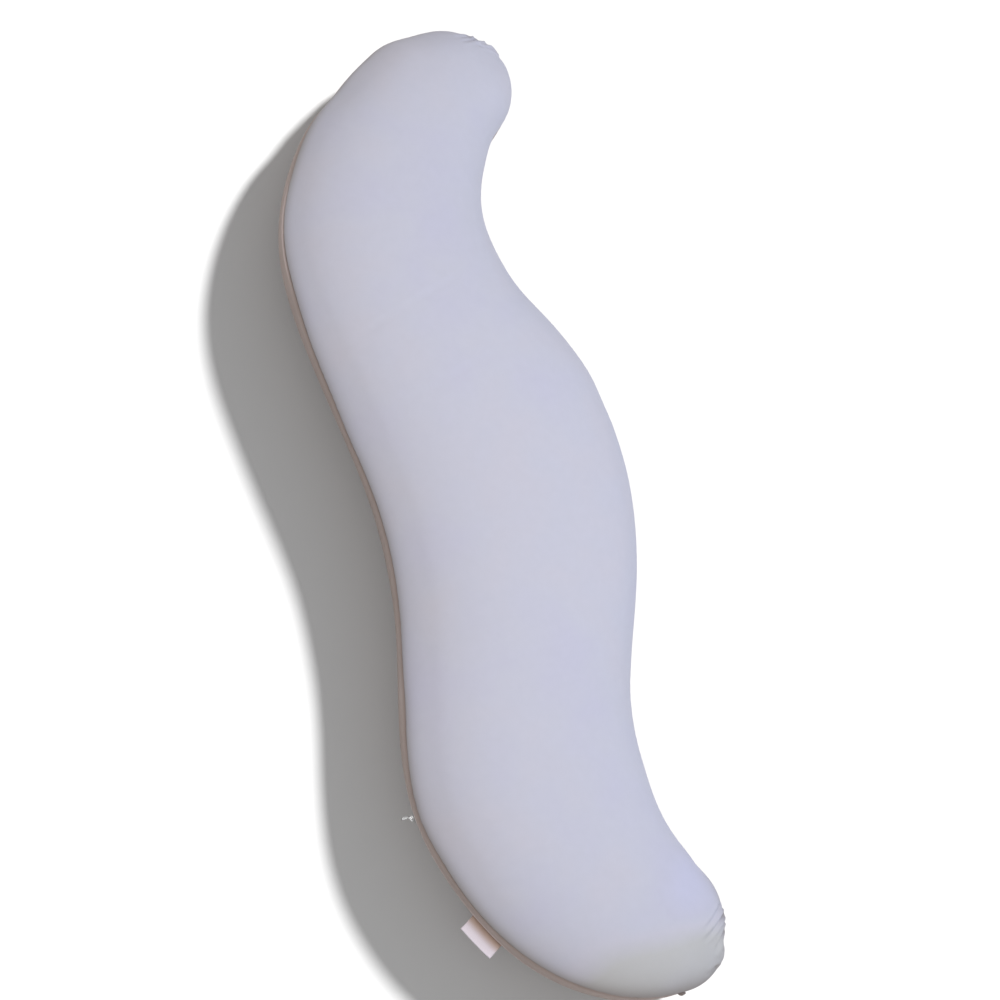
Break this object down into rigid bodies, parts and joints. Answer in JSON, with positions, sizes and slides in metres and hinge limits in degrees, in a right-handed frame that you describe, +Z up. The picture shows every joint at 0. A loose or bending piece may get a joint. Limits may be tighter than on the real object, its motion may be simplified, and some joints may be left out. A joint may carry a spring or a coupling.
{
  "type": "s-shaped pillow",
  "caption": "Long wavy body cushion with two soft curled ends, a domed top cloth, an underside cloth seamed to it, a small folded label and a zip slider.",
  "frame": {"origin": "under the middle of the bounding box, on the surface that the cushion lies on", "axes": "+Z up out of the top cloth, +Y along the cushion towards the end that curls more tightly, +X to the side that both ends curl to"},
  "size_m": [0.4398, 1.4322, 0.2002],
  "materials": {
    "top_cloth": "smooth matt stretch jersey",
    "underside_cloth": "smooth matt jersey, blush",
    "label_tape": "woven satin tape",
    "zip_cloth": "woven zip tape",
    "zip_metal": "satin, pale"
  },
  "bodies": {
    "root": {"pillow": "top_cloth", "underside_panel": "underside_cloth", "label": "label_tape", "zip_tape": "zip_cloth", "zip_slider": "zip_metal", "zip_pull": "zip_metal", "seam_tuck": "underside_cloth"}
  },
  "joints": []
}
